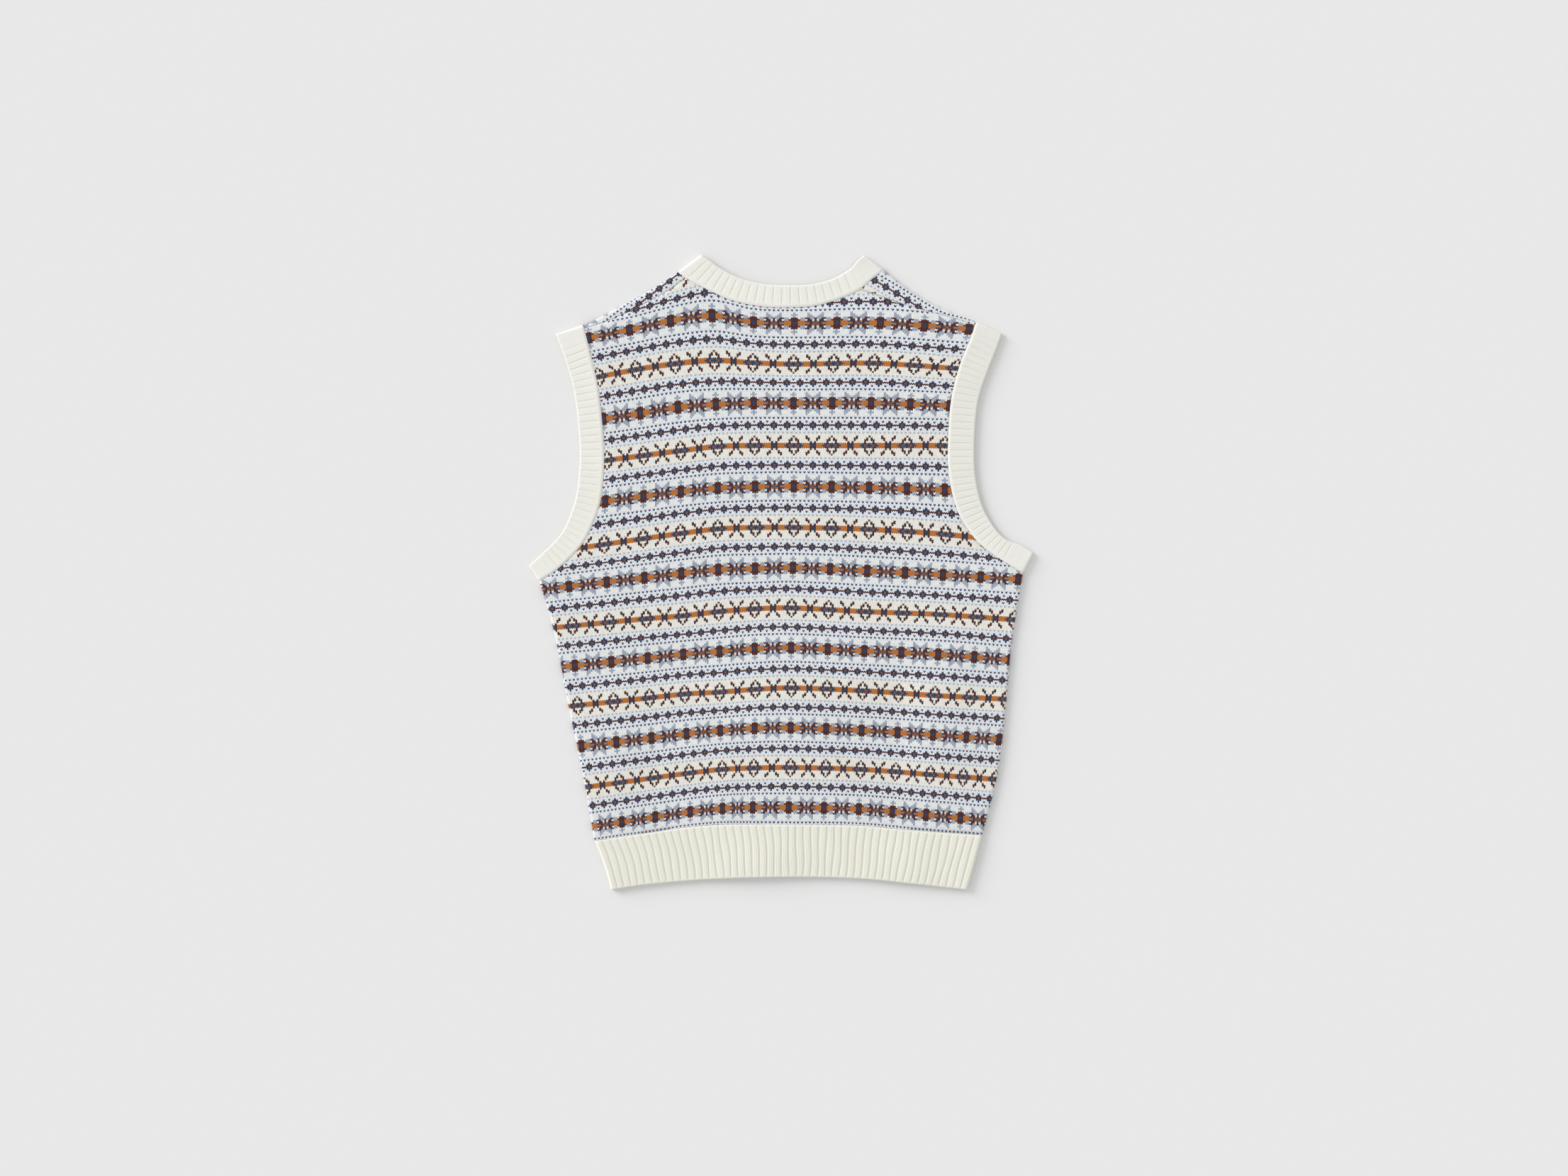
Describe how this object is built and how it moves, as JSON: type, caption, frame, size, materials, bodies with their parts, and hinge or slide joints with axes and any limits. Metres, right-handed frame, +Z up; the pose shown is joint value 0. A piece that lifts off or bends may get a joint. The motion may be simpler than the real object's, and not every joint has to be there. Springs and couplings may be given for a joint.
{
  "type": "jacquard sweater vest, laid flat",
  "caption": "Sleeveless jacquard knit pullover laid flat, back up, with ivory rib at neck, armholes and hem.",
  "frame": {"origin": "on the surface the vest lies on, under the middle of its outline", "axes": "+Y towards the neck, +X to the right seen from above, +Z up out of the back of the vest"},
  "size_m": [0.5347, 0.6715, 0.0079],
  "materials": {
    "jacquard_jersey": "matt wool jersey, two-colour rows in ivory, burgundy, navy, ochre and pale blue",
    "ivory_rib": "matt ivory wool rib"
  },
  "bodies": {
    "root": {"back_panel": "jacquard_jersey", "front_panel": "jacquard_jersey", "neckband": "ivory_rib", "armhole_band_left": "ivory_rib", "armhole_band_right": "ivory_rib", "back_hem_rib": "ivory_rib", "front_hem_rib": "ivory_rib"}
  },
  "joints": []
}
